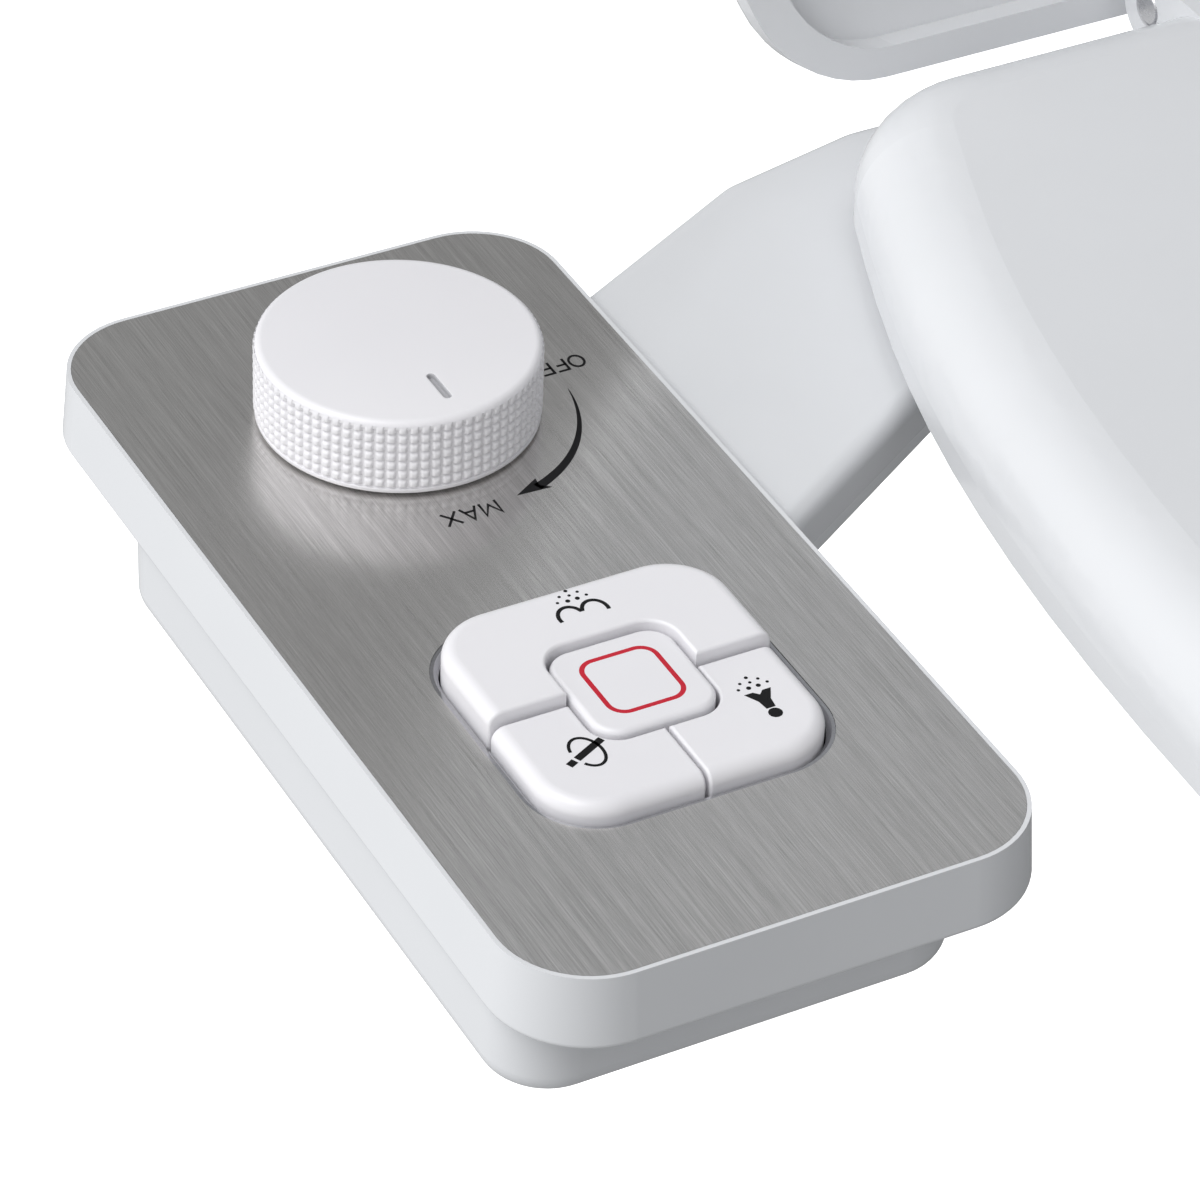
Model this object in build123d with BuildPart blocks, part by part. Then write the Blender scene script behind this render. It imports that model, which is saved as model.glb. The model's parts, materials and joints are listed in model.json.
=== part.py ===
"""Bidet seat with a side control panel: every part as its own solid, in millimetres.

Origin: midway between the two seat bolts, on the plane of the bowl rim (the mounting plate's underside).
+X towards the free end of the plate (the control panel is at -X), -Y towards the front, +Z up.
"""

import os
from math import cos, radians, sin

from build123d import *

os.makedirs("parts", exist_ok=True)

# ---------------------------------------------------------------- fits and gaps
seat_fit = 0.05        # between fixed parts that nest, per side
move_gap = 0.3         # between parts that move against each other, per side
cap_gap = 0.6          # between neighbouring button caps

# ---------------------------------------------------------------- control panel
panel_x, panel_y = -248.0, -67.0    # centre of the panel
plate_w, plate_l, plate_r = 83.3, 171.7, 14.1
plate_t = 1.0                       # metal face plate
rim_w = 0.75                        # white rim round the face plate
panel_h = 12.5                      # metal top above the bowl rim
flare = 1.0                         # how far the side walls lean out, per side
housing_wall = 2.2
deck_t = 2.0                        # deck under the face plate
housing_edge_r = 1.0

tray_left, tray_right = 1.5, 10.4   # lower housing, in from the upper one's foot
tray_front, tray_rear = 8.9, 29.8
tray_depth = 15.5
tray_wall = 2.0
tray_corner_r = 10.5
tray_floor_r = 4.0
flange_t = 2.0

# ---------------------------------------------------------------- knob and its valve
knob_dx = 0.8
knob_margin = 17.85                 # knob's rear edge to the face plate's rear edge
knob_r = 22.5
knob_h = 13.3
knob_lift = 0.5                     # shadow gap under the knob
knob_taper = 0.3
knob_edge_r = 0.9
knob_wall = 2.5
mark_len, mark_w, mark_depth = 7.0, 1.4, 0.5
mark_edge = 5.1                     # from the rim to the near end of the mark
stem_r = 3.0
hub_r = 4.5
hub_h = 6.0
valve_r = 9.0
valve_top = 6.0
gland_h = 2.8
cavity_r = 6.4
disc_t = 2.0
valve_floor = 3.2                   # under the fixed disc

# ---------------------------------------------------------------- push buttons
cluster_margin = 27.55              # buttons' opening to the face plate's front edge
well_w, well_r = 50.0, 11.8         # opening in the face plate
bezel_t = 1.25                      # width of the bright ring
cap_clear = 0.35                    # caps to bezel
rear_rise, front_rise, stop_rise = 4.7, 2.8, 3.65    # cap tops above the metal
cap_skirt = 3.5                     # caps reach this far below the metal
cap_wall = 1.5
cap_top = 2.0
cap_edge_r = 2.2       # rounding of the cluster's outer edge
cap_inner_r = 0.5      # rounding along the splits
stop_edge_r = 0.9
stop_w, stop_r = 20.2, 4.3
travel = 2.5
plunger_r = 3.0
plunger_low = -3.0
rear_post = 17.1                    # rear plunger from the cluster centre
corner_post = 14.5                  # front plungers, in x and in y
guide_top, guide_t = 5.5, 2.0
guide_wall = 1.6
block_w, block_top = 42.0, 0.0
bore_depth = 8.0
ring_w, ring_l, ring_line, ring_r, ring_t = 12.9, 13.5, 0.8, 3.0, 0.4
spring_wire, spring_coil_r, spring_turns = 0.7, 4.2, 4
latch_z, latch_t = 1.0, 1.5
latch_margin = 5.5

# ---------------------------------------------------------------- water inlet and pipes
inlet_inset, inlet_dy = 17.9, 12.0  # from the lower housing's left wall; from the panel centre
thread_r, thread_len = 10.48, 12.0
neck_r, inlet_flange_r, inlet_body_r, inlet_bore_r = 9.5, 11.5, 8.0, 5.5
inlet_flange_t = 2.5
inlet_top = 2.0
filter_t = 1.0
link_w, link_z, link_h = 6.0, -4.0, 6.0
feed_dx, feed_lift = -7.0, 1.5
hose_r = 2.0
hose_start_dx = (1.0, 9.0, 17.0)
hose_turn_dy = (24.0, 16.0, 8.0)
hose_low, hose_high = -5.0, 5.2
hose_row_y = (-23.0, -27.5, -32.0)
hose_end_x = (8.0, 0.0, -8.0)
hose_bend = 3.5

# ---------------------------------------------------------------- arm and mounting plate
arm_drop = 2.0                      # arm's top below the panel's
arm_floor, arm_wall = 2.5, 2.5
arm_edge_r = 3.0
arm_end_x, arm_end_r = 163.0, 25.0
arm_rear_y, arm_front_y = 22.0, -38.0
arm_root_in = 9.4                   # arm runs this far into the panel's housing
arm_root_rear, arm_root_front = -8.0, -77.8
arm_knee_x, arm_knee_y = -168.2, 16.3
arm_rear_x, arm_front_x = -142.0, -150.0    # where its sides turn straight
arm_knee_r = 12.0
bolt_spacing = 140.0
disc_r, disc_lip, disc_lip_t = 15.7, 2.4, 2.0
slot_w, slot_l = 10.6, 24.0
boss_wall = 2.0
screw_r, screw_head_r, screw_head_t = 1.4, 2.8, 1.5
screw_spots = ((-175, 0), (-120, 12), (-30, 12), (30, 12), (120, 12), (40, -28), (120, -28))
pad_r, pad_t = 8.0, 1.2
pad_spots = ((-110, -5), (-38, -8), (38, -8), (110, -5))

# ---------------------------------------------------------------- nozzles and guard
nozzle_dx = 8.0
nozzle_r, nozzle_bore = 4.0, 2.0
nozzle_y, nozzle_z = -58.0, 3.5     # where the slide axis starts
nozzle_tilt = 45.0                  # below the horizontal
nozzle_back, nozzle_tip = 1.0, 44.0
feed_r = 1.6
feed_back, feed_tip = -5.0, 18.0
sleeve_from, sleeve_to = 4.0, 27.0
sleeve_w, sleeve_h = 29.0, 13.0
shoe_front, shoe_wall = -72.0, 2.0  # nozzle housing
manifold_rear, manifold_front = -50.0, -57.0
guard_y, guard_r, guard_foot_r = -86.0, 17.0, 14.5
guard_top, guard_bottom, guard_wall = 6.0, -26.5, 1.6
pivot_y, pivot_z, pivot_r = -90.0, 3.0, 1.5
barrel_r = 3.4
lug_t, lug_r, lug_gap = 3.0, 4.0, 0.5

# ---------------------------------------------------------------- seat, lid and their hinge
hinge_y, hinge_rise, hinge_r = 12.0, 15.5, 3.0      # rise above the arm
eye_r = 7.0
post_w, post_front, post_h = 16.0, -22.0, 8.0
bolt_r, bolt_head_r, bolt_head_h, bolt_low = 4.0, 6.5, 5.0, -45.0
shank_clear = 0.25                  # plain shank below the thread's size; hole above it
hex_r, hex_depth = 3.0, 2.5
bolt_seat_t = 3.5
ear_w = 11.6
seat_half, seat_rear_half = 186.0, 151.0
seat_rear, seat_wide_y, seat_front = 8.0, -180.0, -455.0
seat_corner_r = 26.0
open_half, open_wide_y, open_rear, open_front = 115.0, -205.0, -88.0, -390.0
seat_gap, seat_h, seat_top, seat_side = 3.0, 19.5, 7.0, 7.0
seat_outer_r, seat_inner_r = 15.0, 8.0
lid_gap, lid_h, lid_shell, lid_side, lid_rear = 3.0, 9.0, 3.2, 5.2, 16.0
lid_grow, lid_edge_r = 1.5, 5.0
lid_angle = 105.0
bumper_w, bumper_l, bumper_r = 12.0, 26.0, 5.0
bumper_rear_in, bumper_front_in, bumper_tip_in = 36.0, 61.0, 126.0     # in from the seat's widest
seat_bumper_rear_y, seat_bumper_front_y = -110.0, -330.0
lid_bumper_rear_y, lid_bumper_tip_up = -150.0, 40.0                    # up from the seat's front edge

# ---------------------------------------------------------------- worked out
deck_top = panel_h - plate_t
deck_low = deck_top - deck_t
foot_half_w = plate_w / 2 + rim_w + flare
foot_half_l = plate_l / 2 + rim_w + flare
tray_x0, tray_x1 = tray_left - foot_half_w, foot_half_w - tray_right
tray_y0, tray_y1 = tray_front - foot_half_l, foot_half_l - tray_rear
tray_low = -tray_depth
tray_floor = tray_low + tray_wall
knob_x, knob_y = panel_x + knob_dx, panel_y + plate_l / 2 - knob_margin - knob_r
knob_low = panel_h + knob_lift
knob_top = knob_low + knob_h
cluster_x, cluster_y = panel_x, panel_y - plate_l / 2 + cluster_margin + well_w / 2
foot_w = well_w - 2 * (seat_fit + bezel_t + cap_clear)
foot_r = well_r - seat_fit - bezel_t - cap_clear
cap_low = panel_h - cap_skirt
inlet_x, inlet_y = panel_x + tray_x0 + inlet_inset, panel_y + inlet_dy
fixed_low = tray_floor + valve_floor
turning_low = fixed_low + disc_t + move_gap
stem_low = turning_low + disc_t
feed_z = tray_floor + feed_lift
arm_h = panel_h - arm_drop
hinge_z = arm_h + hinge_rise
post_rear = hinge_y + eye_r
lug_in = guard_r + lug_gap
shoe_w = 2 * (lug_in + lug_t)
seat_z = arm_h + seat_gap
lid_z = seat_z + seat_h + lid_gap
seat_bumper_spots = [(side * (seat_half - inset), y) for side in (-1, 1) for inset, y in (
    (bumper_rear_in, seat_bumper_rear_y), (bumper_front_in, seat_bumper_front_y))]
lid_bumper_spots = [(side * (seat_half - inset), y) for side in (-1, 1) for inset, y in (
    (bumper_rear_in, lid_bumper_rear_y), (bumper_tip_in, seat_front + lid_bumper_tip_up))]
post_x = bolt_spacing / 2
ear_in = post_x - post_w / 2 - move_gap - ear_w
ear_out = post_x + post_w / 2 + move_gap
notch_in, notch_out = ear_in - 1.0, ear_out
slide_dir = (0, -cos(radians(nozzle_tilt)), -sin(radians(nozzle_tilt)))
hinge_axis = Axis((0, hinge_y, hinge_z), (1, 0, 0))


def save(solid, name):
    """Name a part and write its STEP file."""
    solid.label = name
    export_step(solid, f"parts/{name}.step")


def at(x, y, z=0.0):
    return Plane.XY.offset(z) * Location((x, y))


def panel_outline(grow, z):
    """The panel's rounded rectangle, grown by an amount on each side, at a height."""
    with BuildSketch(Plane.XY.offset(z)) as outline:
        with Locations((panel_x, panel_y)):
            RectangleRounded(plate_w + 2 * grow, plate_l + 2 * grow, plate_r + grow)
    return outline.sketch


def housing_envelope():
    with BuildPart() as envelope:
        add(panel_outline(rim_w + flare, 0))
        add(panel_outline(rim_w, panel_h))
        loft()
        fillet(envelope.edges().group_by(Axis.Z)[0], housing_edge_r)
    return envelope.part


def well(width, radius, z):
    """The button cluster's rounded square at a height."""
    with BuildSketch(Plane.XY.offset(z)) as outline:
        with Locations((cluster_x, cluster_y)):
            RectangleRounded(width, width, radius)
    return outline.sketch


# ================================================================ control panel shells
envelope = housing_envelope()

with BuildPart() as housing_upper:
    add(envelope)
    add(panel_outline(seat_fit, deck_top))
    extrude(amount=plate_t, mode=Mode.SUBTRACT)
    add(panel_outline(rim_w - housing_wall, 0))
    extrude(amount=deck_low, mode=Mode.SUBTRACT)
    add(well(well_w - 2 * seat_fit - 2 * bezel_t, well_r - bezel_t, deck_low))
    extrude(amount=deck_t, mode=Mode.SUBTRACT)
    with BuildSketch(Plane.XY.offset(deck_low)):
        with Locations((knob_x, knob_y)):
            Circle(hub_r + 1)
    extrude(amount=deck_t, mode=Mode.SUBTRACT)
    # window for the three hoses
    window_l = hose_turn_dy[0] - hose_turn_dy[-1] + 2 * hose_r + 3
    with BuildSketch(Plane.XY.offset(arm_floor + 0.1)):
        with Locations((panel_x + plate_w / 2, panel_y + hose_turn_dy[1])):
            Rectangle(4 * housing_wall, window_l)
    extrude(amount=arm_h - arm_floor - arm_wall - 0.2, mode=Mode.SUBTRACT)
save(housing_upper.part, "control_housing_upper")

tray_mid = (panel_x + (tray_x0 + tray_x1) / 2, panel_y + (tray_y0 + tray_y1) / 2)
tray_size = (tray_x1 - tray_x0, tray_y1 - tray_y0)
with BuildPart() as housing_lower:
    with BuildSketch(Plane.XY.offset(tray_low)):
        with Locations(tray_mid):
            RectangleRounded(*tray_size, tray_corner_r)
    extrude(amount=tray_depth)
    fillet(housing_lower.edges().group_by(Axis.Z)[0], tray_floor_r)
    add(panel_outline(rim_w - housing_wall - seat_fit, 0))
    extrude(amount=flange_t)
    with BuildSketch(Plane.XY.offset(tray_floor)):
        with Locations(tray_mid):
            RectangleRounded(*[size - 2 * tray_wall for size in tray_size], tray_corner_r - tray_wall)
    extrude(amount=-tray_floor + flange_t, mode=Mode.SUBTRACT)
    with BuildSketch(Plane.XY.offset(tray_low)):
        with Locations((inlet_x, inlet_y)):
            Circle(neck_r)
    extrude(amount=tray_wall, mode=Mode.SUBTRACT)
save(housing_lower.part, "control_housing_lower")

with BuildPart() as face_plate:
    add(panel_outline(0, deck_top))
    extrude(amount=plate_t)
    add(well(well_w, well_r, deck_top))
    extrude(amount=plate_t, mode=Mode.SUBTRACT)
    with BuildSketch(Plane.XY.offset(deck_top)):
        with Locations((knob_x, knob_y)):
            Circle(hub_r + 1)
    extrude(amount=plate_t, mode=Mode.SUBTRACT)
save(face_plate.part, "face_plate")

with BuildPart() as bezel:
    add(well(well_w - 2 * seat_fit, well_r - seat_fit, deck_top))
    extrude(amount=plate_t - 0.1)
    add(well(foot_w + 2 * cap_clear, foot_r + cap_clear, deck_top))
    extrude(amount=plate_t, mode=Mode.SUBTRACT)
    chamfer(bezel.faces().sort_by(Axis.Z)[-1].inner_wires()[0].edges(), 0.7)
save(bezel.part, "button_bezel")

# ================================================================ push buttons
cap_shapes = {
    # name: rise, x side of the split, y side of the split, plunger place
    "rear": (rear_rise, 0, 1, (0, rear_post)),
    "front_left": (front_rise, -1, -1, (-corner_post, -corner_post)),
    "front_right": (front_rise, 1, -1, (corner_post, -corner_post)),
}


def cap_face(side_x, side_y, inset, z):
    """One outer cap: its share of the rounded square, less the stop cap's corner."""
    half = foot_w / 2
    reach = half - cap_gap / 2 - inset
    with BuildSketch(at(cluster_x, cluster_y, z)) as face:
        RectangleRounded(foot_w - 2 * inset, foot_w - 2 * inset, foot_r - inset)
        with Locations((0, side_y * (half - reach / 2))):
            Rectangle(foot_w, reach, mode=Mode.INTERSECT)
        if side_x:
            with Locations((side_x * (half - reach / 2), 0)):
                Rectangle(reach, foot_w, mode=Mode.INTERSECT)
        cut = stop_w + 2 * (cap_gap + inset)
        RectangleRounded(cut, cut, stop_r + cap_gap + inset, mode=Mode.SUBTRACT)
    return face.sketch


def from_middle(edge):
    """How far an edge's middle is from the cluster's, along X or Y, whichever is more."""
    middle = edge.center()
    return max(abs(middle.X - cluster_x), abs(middle.Y - cluster_y))


def is_outer(edge):
    return from_middle(edge) > foot_w / 2 - foot_r / 2


def is_split(edge):
    return from_middle(edge) < foot_w / 2 - foot_r / 2


def plunger_and_spring(name, place, ceiling):
    """The post under a cap and the coil spring round it."""
    x, y = cluster_x + place[0], cluster_y + place[1]
    with BuildPart() as plunger:
        with BuildSketch(at(x, y, plunger_low)):
            Circle(plunger_r)
        extrude(amount=ceiling - plunger_low)
        chamfer(plunger.edges().group_by(Axis.Z)[0], 0.8)
    save(plunger.part, f"{name}_plunger")
    low = guide_top + spring_wire / 2
    height = ceiling - guide_top - spring_wire
    with BuildPart() as spring:
        with BuildLine():
            path = Helix(height / spring_turns, height, spring_coil_r, center=(x, y, low))
        with BuildSketch(Plane(origin=path @ 0, z_dir=path % 0)):
            Circle(spring_wire / 2)
        sweep(is_frenet=True)
    save(spring.part, f"{name}_spring")


for name, (rise, side_x, side_y, place) in cap_shapes.items():
    top = panel_h + rise
    with BuildPart() as cap:
        add(cap_face(side_x, side_y, 0, cap_low))
        extrude(amount=top - cap_low)
        fillet(cap.edges().group_by(Axis.Z)[-1].filter_by(is_outer), cap_edge_r)
        fillet(cap.edges().group_by(Axis.Z)[-1].filter_by(is_split), cap_inner_r)
        add(cap_face(side_x, side_y, cap_wall, cap_low))
        extrude(amount=top - cap_top - cap_low, mode=Mode.SUBTRACT)
    save(cap.part, f"{name}_button")
    plunger_and_spring(name, place, top - cap_top)

stop_top = panel_h + stop_rise
with BuildPart() as stop_cap:
    with BuildSketch(at(cluster_x, cluster_y, cap_low)):
        RectangleRounded(stop_w, stop_w, stop_r)
    extrude(amount=stop_top - cap_low)
    fillet(stop_cap.edges().group_by(Axis.Z)[-1], stop_edge_r)
    with BuildSketch(at(cluster_x, cluster_y, cap_low)):
        RectangleRounded(stop_w - 2 * cap_wall, stop_w - 2 * cap_wall, stop_r - cap_wall)
    extrude(amount=stop_top - cap_top - cap_low, mode=Mode.SUBTRACT)
    with BuildSketch(at(cluster_x, cluster_y, stop_top - ring_t)) as ring_face:
        RectangleRounded(ring_w, ring_l, ring_r)
        inner_w, inner_l = ring_w - 2 * ring_line, ring_l - 2 * ring_line
        RectangleRounded(inner_w, inner_l, ring_r - ring_line, mode=Mode.SUBTRACT)
    extrude(amount=ring_t, mode=Mode.SUBTRACT)
save(stop_cap.part, "stop_button")

with BuildPart() as stop_ring:
    add(ring_face.sketch)
    extrude(amount=ring_t)
save(stop_ring.part, "stop_button_ring")
plunger_and_spring("stop", (0, 0), stop_top - cap_top)

posts = [(0, 0)] + [shape[3] for shape in cap_shapes.values()]
posts = [(cluster_x + x, cluster_y + y) for x, y in posts]

with BuildPart() as guide:
    cup_w = foot_w + 2 * move_gap + 2 * guide_wall
    add(well(cup_w, foot_r + move_gap + guide_wall, guide_top - guide_t))
    extrude(amount=deck_low - guide_top + guide_t)
    add(well(cup_w - 2 * guide_wall, foot_r + move_gap, guide_top))
    extrude(amount=deck_low - guide_top, mode=Mode.SUBTRACT)
    with BuildSketch(Plane.XY.offset(guide_top - guide_t)):
        with Locations(posts):
            Circle(plunger_r + move_gap)
    extrude(amount=guide_t, mode=Mode.SUBTRACT)
save(guide.part, "button_guide")

with BuildPart() as latch:
    with BuildSketch(at(cluster_x, cluster_y, latch_z)):
        RectangleRounded(2 * (corner_post + latch_margin), 2 * (rear_post + latch_margin), 3)
    extrude(amount=latch_t)
    with BuildSketch(Plane.XY.offset(latch_z)):
        with Locations([(x - travel / 2, y) for x, y in posts]):
            SlotCenterToCenter(travel, 2 * (plunger_r + move_gap))
    extrude(amount=latch_t, mode=Mode.SUBTRACT)
save(latch.part, "latch_slide")

with BuildPart() as block:
    with BuildSketch(at(cluster_x, cluster_y, tray_floor)):
        Rectangle(block_w, block_w)
    extrude(amount=block_top - tray_floor)
    fillet(block.edges().filter_by(Axis.Z), 2)
    with BuildSketch(Plane.XY.offset(block_top - bore_depth)):
        with Locations(posts):
            Circle(plunger_r + move_gap)
    extrude(amount=bore_depth, mode=Mode.SUBTRACT)
save(block.part, "button_valve_block")

# ================================================================ knob and its valve
with BuildPart() as knob:
    with BuildSketch(at(knob_x, knob_y, knob_low)):
        Circle(knob_r)
    with BuildSketch(at(knob_x, knob_y, knob_top)):
        Circle(knob_r - knob_taper)
    loft()
    fillet(knob.edges().group_by(Axis.Z)[-1], knob_edge_r)
    with BuildSketch(at(knob_x, knob_y, knob_low)):
        Circle(knob_r - knob_wall)
        Circle(hub_r + knob_wall, mode=Mode.SUBTRACT)
    extrude(amount=knob_h - knob_wall, mode=Mode.SUBTRACT)
    with BuildSketch(at(knob_x, knob_y, knob_low)):
        Circle(hub_r)
    extrude(amount=knob_h - knob_wall, mode=Mode.SUBTRACT)
    with BuildSketch(at(knob_x, knob_y - knob_r + mark_edge + mark_len / 2, knob_top - mark_depth)):
        SlotOverall(mark_len, mark_w, rotation=90)
    extrude(amount=mark_depth, mode=Mode.SUBTRACT)
save(knob.part, "knob")

hub_top = knob_top - knob_wall
with BuildPart() as hub:
    with BuildSketch(at(knob_x, knob_y, hub_top - hub_h)):
        Circle(hub_r)
        Circle(stem_r, mode=Mode.SUBTRACT)
    extrude(amount=hub_h)
save(hub.part, "knob_hub")

with BuildPart() as stem:
    with BuildSketch(at(knob_x, knob_y, stem_low)):
        Circle(stem_r)
    extrude(amount=hub_top - stem_low)
    chamfer(stem.edges().group_by(Axis.Z)[-1], 0.5)
save(stem.part, "valve_stem")

with BuildPart() as turning_disc:
    with BuildSketch(at(knob_x, knob_y, turning_low)):
        Circle(cavity_r - move_gap)
        with Locations((cavity_r / 2, 0)):
            Circle(1.5, mode=Mode.SUBTRACT)
    extrude(amount=disc_t)
save(turning_disc.part, "valve_disc_turning")

with BuildPart() as fixed_disc:
    with BuildSketch(at(knob_x, knob_y, fixed_low)):
        Circle(cavity_r)
        with Locations((0, -cavity_r / 2)):
            Circle(1.5, mode=Mode.SUBTRACT)
    extrude(amount=disc_t)
save(fixed_disc.part, "valve_disc_fixed")

with BuildPart() as valve_body:
    with BuildSketch(at(knob_x, knob_y, tray_floor)):
        Circle(valve_r)
    extrude(amount=valve_top - tray_floor)
    with BuildSketch(at(knob_x, knob_y, fixed_low)):
        Circle(cavity_r)
    extrude(amount=valve_top - fixed_low, mode=Mode.SUBTRACT)
save(valve_body.part, "valve_body")

with BuildPart() as gland:
    with BuildSketch(at(knob_x, knob_y, valve_top)):
        RegularPolygon(valve_r, 6)
        Circle(stem_r + move_gap, mode=Mode.SUBTRACT)
    extrude(amount=gland_h)
save(gland.part, "valve_gland")

# ================================================================ inlet, channels and hoses
with BuildPart() as inlet:
    for radius, low, high in (
        (thread_r, tray_low - thread_len, tray_low),
        (neck_r, tray_low, tray_floor),
        (inlet_flange_r, tray_floor, tray_floor + inlet_flange_t),
        (inlet_body_r, tray_floor + inlet_flange_t, inlet_top),
    ):
        with BuildSketch(at(inlet_x, inlet_y, low)):
            Circle(radius)
        extrude(amount=high - low)
    with BuildSketch(at(inlet_x, inlet_y, tray_low - thread_len)):
        Circle(inlet_bore_r)
    extrude(amount=thread_len + tray_depth + inlet_top - tray_wall, mode=Mode.SUBTRACT)
    chamfer(inlet.faces().sort_by(Axis.Z)[0].outer_wire().edges(), 0.8)
save(inlet.part, "inlet_fitting")

with BuildPart() as inlet_filter:
    with BuildSketch(at(inlet_x, inlet_y, tray_low - thread_len + 4)):
        Circle(inlet_bore_r)
        with PolarLocations(inlet_bore_r * 0.6, 8):
            Circle(0.7, mode=Mode.SUBTRACT)
    extrude(amount=filter_t)
save(inlet_filter.part, "inlet_filter")

run = Vector(knob_x - inlet_x, knob_y - inlet_y)
with BuildPart() as supply_link:
    with BuildSketch(Plane(origin=(inlet_x, inlet_y, link_z), x_dir=run, z_dir=(0, 0, 1))):
        with Locations((run.length / 2, 0)):
            Rectangle(run.length, link_w)
    extrude(amount=link_h)
    for x, y, radius in ((inlet_x, inlet_y, inlet_body_r), (knob_x, knob_y, valve_r)):
        with BuildSketch(at(x, y, link_z)):
            Circle(radius)
        extrude(amount=link_h, mode=Mode.SUBTRACT)
save(supply_link.part, "supply_channel")

block_rear = cluster_y + block_w / 2
with BuildPart() as feed:
    with BuildSketch(Plane.XY.offset(feed_z)):
        with Locations((panel_x + feed_dx, (block_rear + knob_y) / 2)):
            Rectangle(link_w, knob_y - block_rear)
    extrude(amount=link_h)
    with BuildSketch(at(knob_x, knob_y, feed_z)):
        Circle(valve_r)
    extrude(amount=link_h, mode=Mode.SUBTRACT)
save(feed.part, "feed_channel")

for number in range(3):
    start_x = panel_x + hose_start_dx[number]
    turn_y = panel_y + hose_turn_dy[number]
    row_y = hose_row_y[number]
    end_x = hose_end_x[number]
    route = [
        (start_x, block_rear, hose_low),
        (start_x, turn_y, hose_low),
        (start_x, turn_y, hose_high),
        (panel_x + plate_w / 2 + 5, turn_y, hose_high),
        (arm_front_x, row_y, hose_high),
        (end_x, row_y, hose_high),
        (end_x, manifold_rear, hose_high),
    ]
    with BuildPart() as hose:
        with BuildLine():
            path = FilletPolyline(*route, radius=hose_bend)
        with BuildSketch(Plane(origin=route[0], z_dir=(0, 1, 0))):
            Circle(hose_r)
        sweep()
    save(hose.part, f"hose_{('right', 'clean', 'left')[number]}")

# ================================================================ arm and mounting plate
arm_root_x = panel_x + plate_w / 2 + rim_w - arm_root_in


def arm_outline(z):
    """Plan of the arm and plate; its left end runs into the panel housing."""
    with BuildSketch(Plane.XY.offset(z)) as outline:
        with BuildLine():
            Polyline(
                (arm_root_x, arm_root_rear), (arm_knee_x, arm_knee_y), (arm_rear_x, arm_rear_y),
                (arm_end_x, arm_rear_y), (arm_end_x, arm_front_y), (arm_front_x, arm_front_y),
                (arm_root_x, arm_root_front), close=True,
            )
        make_face()
        fillet(outline.vertices().group_by(Axis.X)[-1], arm_end_r)
        fillet(outline.vertices().filter_by_position(Axis.X, arm_knee_x - 1, arm_rear_x + 1), arm_knee_r)
    return outline.sketch


disc_hole = disc_r + move_gap
lip_hole = disc_r + disc_lip + move_gap
lip_z = arm_h - move_gap - disc_lip_t - move_gap
bolt_spots = ((-post_x, 0), (post_x, 0))

with BuildPart() as arm_top:
    add(arm_outline(arm_floor))
    extrude(amount=arm_h - arm_floor)
    fillet(arm_top.edges().group_by(Axis.Z)[-1], arm_edge_r)
    with BuildSketch(Plane.XY.offset(arm_floor)):
        add(arm_outline(0))
        offset(amount=-arm_wall, mode=Mode.REPLACE)
        with Locations(bolt_spots):
            Circle(lip_hole + boss_wall, mode=Mode.SUBTRACT)
        with Locations(screw_spots):
            Circle(screw_r + boss_wall, mode=Mode.SUBTRACT)
    extrude(amount=arm_h - arm_floor - arm_wall, mode=Mode.SUBTRACT)
    add(envelope, mode=Mode.SUBTRACT)
    with BuildSketch(Plane.XY.offset(arm_floor)):
        with Locations(bolt_spots):
            Circle(disc_hole)
    extrude(amount=arm_h, mode=Mode.SUBTRACT)
    with BuildSketch(Plane.XY.offset(lip_z)):
        with Locations(bolt_spots):
            Circle(lip_hole)
    extrude(amount=arm_h, mode=Mode.SUBTRACT)
    with BuildSketch(Plane.XY.offset(arm_floor)):
        with Locations(screw_spots):
            Circle(screw_r)
    extrude(amount=arm_h - arm_floor - arm_wall, mode=Mode.SUBTRACT)
    # way through to the nozzle housing
    with BuildSketch(Plane.XY.offset(arm_floor)):
        with Locations((0, arm_front_y)):
            Rectangle(2 * nozzle_dx + 2 * hose_r + 2, 4 * arm_wall)
    extrude(amount=arm_h - arm_floor - arm_wall, mode=Mode.SUBTRACT)
save(arm_top.part, "arm_top_cover")

with BuildPart() as arm_bottom:
    add(arm_outline(0))
    extrude(amount=arm_floor)
    add(envelope, mode=Mode.SUBTRACT)
    with BuildSketch(Plane.XY):
        with Locations(bolt_spots):
            Circle(disc_hole)
        with Locations(screw_spots):
            Circle(screw_r)
    extrude(amount=arm_floor, mode=Mode.SUBTRACT)
    with BuildSketch(Plane.XY):
        with Locations(screw_spots):
            Circle(screw_head_r)
    extrude(amount=screw_head_t, mode=Mode.SUBTRACT)
    with BuildSketch(Plane.XY):
        with Locations(pad_spots):
            Circle(pad_r)
    extrude(amount=pad_t, mode=Mode.SUBTRACT)
save(arm_bottom.part, "arm_bottom_cover")

with BuildPart() as screws:
    with BuildSketch(Plane.XY.offset(0.2)):
        with Locations(screw_spots):
            Circle(screw_head_r)
    extrude(amount=screw_head_t - 0.2)
    with BuildSketch(Plane.XY.offset(screw_head_t)):
        with Locations(screw_spots):
            Circle(screw_r)
    extrude(amount=arm_h - arm_wall - screw_head_t - 0.5)
save(screws.part, "arm_screws")

with BuildPart() as pads:
    with BuildSketch(Plane.XY):
        with Locations(pad_spots):
            Circle(pad_r)
    extrude(amount=pad_t)
save(pads.part, "grip_pads")

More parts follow.
